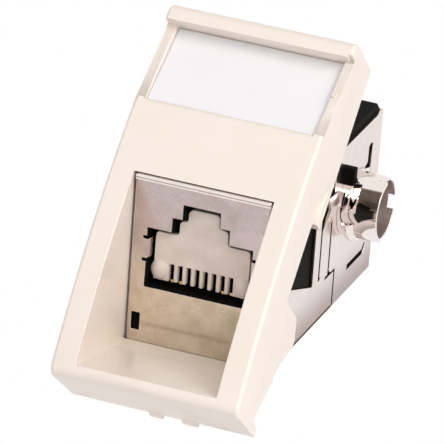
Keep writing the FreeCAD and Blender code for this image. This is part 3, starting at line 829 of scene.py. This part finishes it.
class JACK_OT_stage(bpy.types.Operator):
    """Pale floor, soft lamps and the camera"""
    bl_idname = "jack.stage"
    bl_label = "Stage"

    def execute(self, context):
        scene = context.scene
        studio = scene.jack_studio
        scene.view_settings.view_transform = "Standard"
        self.sky(scene, studio)
        self.floor(scene, studio)
        self.lamp(scene, "key_lamp", (-0.6, -0.7, 0.62), studio.key, 0.4)
        self.lamp(scene, "front_lamp", (0.45, -0.85, 0.18), studio.front, 0.35)
        self.lamp(scene, "fill_lamp", (0.75, -0.6, 0.32), studio.fill, 0.45)
        self.lamp(scene, "side_lamp", (1.0, 0.05, 0.4), studio.side, 0.6)
        self.camera(scene, studio)
        return {"FINISHED"}

    def lamp(self, scene, name, place, watts, width):
        """A square soft lamp that faces the jack."""
        light = bpy.data.lights.new(name, "AREA")
        light.shape = "SQUARE"
        light.size = width
        light.energy = watts
        holder = bpy.data.objects.new(name, light)
        scene.collection.objects.link(holder)
        aim = Vector((0.0, 0.012, 0.022))
        holder.location = place
        holder.rotation_euler = (aim - Vector(place)).to_track_quat("-Z", "Y").to_euler()

    def sky(self, scene, studio):
        """White to the camera and in reflections, and a dimmer even light for the rest."""
        world = bpy.data.worlds.new("studio")
        scene.world = world
        world.use_nodes = True
        tree = world.node_tree
        tree.nodes.clear()
        path = add(tree, "ShaderNodeLightPath").outputs
        mirrored = maths(tree, "MAXIMUM", path["Is Glossy Ray"], path["Is Transmission Ray"])
        seen = maths(tree, "MAXIMUM", path["Is Camera Ray"], mirrored)
        way = add(tree, "ShaderNodeSeparateXYZ", {0: add(tree, "ShaderNodeTexCoord").outputs["Generated"]})
        share = between(tree, way.outputs["Y"], -0.4, 0.4, 1.0, studio.behind)
        even = maths(tree, "MULTIPLY", share, studio.ambient)
        white = (1.0, 1.0, 1.0, 1.0)
        around = add(tree, "ShaderNodeBackground", {"Color": white, "Strength": even})
        backdrop = add(tree, "ShaderNodeBackground", {"Color": white, "Strength": 1.0})
        mix = add(tree, "ShaderNodeMixShader", {0: seen, 1: around.outputs[0], 2: backdrop.outputs[0]})
        output = add(tree, "ShaderNodeOutputWorld")
        tree.links.new(mix.outputs[0], output.inputs["Surface"])

    def floor(self, scene, studio):
        """Pale floor that lights the jack from below, and is clear from underneath."""
        half = 4.0
        bm = bmesh.new()
        bmesh.ops.create_grid(bm, x_segments=1, y_segments=1, size=half)
        mesh = bpy.data.meshes.new("floor")
        bm.to_mesh(mesh)
        bm.free()
        ground = bpy.data.objects.new("floor", mesh)
        scene.collection.objects.link(ground)
        mesh.materials.append(self.floor_finish(studio))

    def floor_finish(self, studio):
        material, tree, shader, place = start_material("studio_floor")
        output = shader.outputs[0].links[0].to_node
        grain = effect(tree, "moulded_skin", Vector=place, Grain=300.0, Mottle=2.0)
        tree.links.new(spread(tree, grain["Gloss"], 0.7, 0.9), shader.inputs["Roughness"])
        shader.inputs["Base Color"].default_value = paint("floor")
        path = add(tree, "ShaderNodeLightPath").outputs
        bright = maths(tree, "MAXIMUM", path["Is Glossy Ray"], studio.table)
        glow = add(tree, "ShaderNodeEmission", {"Strength": bright})
        lit = maths(tree, "MAXIMUM", path["Is Diffuse Ray"], path["Is Glossy Ray"])
        table = add(tree, "ShaderNodeMixShader", {0: lit, 1: shader.outputs[0], 2: glow.outputs[0]})
        shown = maths(tree, "MULTIPLY", path["Is Camera Ray"], 0.3)
        lift = add(tree, "ShaderNodeEmission", {"Strength": shown})
        pale = add(tree, "ShaderNodeAddShader", {0: table.outputs[0], 1: lift.outputs[0]})
        under = add(tree, "ShaderNodeNewGeometry").outputs["Backfacing"]
        clear = add(tree, "ShaderNodeBsdfTransparent")
        mix = add(tree, "ShaderNodeMixShader", {0: under, 1: pale.outputs[0], 2: clear.outputs[0]})
        tree.links.new(mix.outputs[0], output.inputs["Surface"])
        return material

    def camera(self, scene, studio):
        """Camera at the photograph's angle: to the right, looking up, and rolled."""
        turn, rise, roll = math.radians(18.98), math.radians(15.52), math.radians(18.11)
        aim = Vector((0.0, 0.005, 0.0225))
        look = Vector((-math.sin(turn) * math.cos(rise), math.cos(turn) * math.cos(rise), math.sin(rise)))
        right = look.cross(Vector((0, 0, 1))).normalized()
        up = right.cross(look)
        side = right * math.cos(roll) + up * math.sin(roll)
        top = up * math.cos(roll) - right * math.sin(roll)
        data = bpy.data.cameras.new("camera")
        data.lens = studio.lens
        data.sensor_width = 36.0
        data.shift_x, data.shift_y = 0.0154, 0.0036
        data.clip_start, data.clip_end = 0.01, 50.0
        camera = bpy.data.objects.new("camera", data)
        scene.collection.objects.link(camera)
        basis = Matrix((side, top, -look)).transposed().to_4x4()
        camera.matrix_world = Matrix.Translation(aim - look * studio.distance) @ basis
        scene.camera = camera


class JACK_PT_panel(bpy.types.Panel):
    """Sizes, colours and steps of the jack"""
    bl_label = "Angled Network Jack"
    bl_idname = "JACK_PT_panel"
    bl_space_type = "VIEW_3D"
    bl_region_type = "UI"
    bl_category = "Jack"

    def draw(self, context):
        column = self.layout.column(align=True)
        for step in STEPS:
            column.operator(step.bl_idname)
        for group in (context.scene.jack_sizes, context.scene.jack_colours, context.scene.jack_studio):
            column.separator()
            for name in group.__annotations__:
                column.prop(group, name)


STEPS = (JACK_OT_bezel, JACK_OT_label, JACK_OT_shields, JACK_OT_plastics, JACK_OT_shutter, JACK_OT_metals,
         JACK_OT_stage)
CLASSES = (JackSizes, JackColours, JackStudio, *STEPS, JACK_PT_panel)


def register():
    for item in CLASSES:
        bpy.utils.register_class(item)
    bpy.types.Scene.jack_sizes = PointerProperty(type=JackSizes)
    bpy.types.Scene.jack_colours = PointerProperty(type=JackColours)
    bpy.types.Scene.jack_studio = PointerProperty(type=JackStudio)


def unregister():
    del bpy.types.Scene.jack_studio, bpy.types.Scene.jack_colours, bpy.types.Scene.jack_sizes
    for item in reversed(CLASSES):
        bpy.utils.unregister_class(item)


def main():
    register()
    bpy.ops.jack.bezel()
    bpy.ops.jack.label()
    bpy.ops.jack.shields()
    bpy.ops.jack.plastics()
    bpy.ops.jack.shutter()
    bpy.ops.jack.metals()
    bpy.ops.jack.stage()
    bpy.context.view_layer.update()


if __name__ == "__main__":
    main()
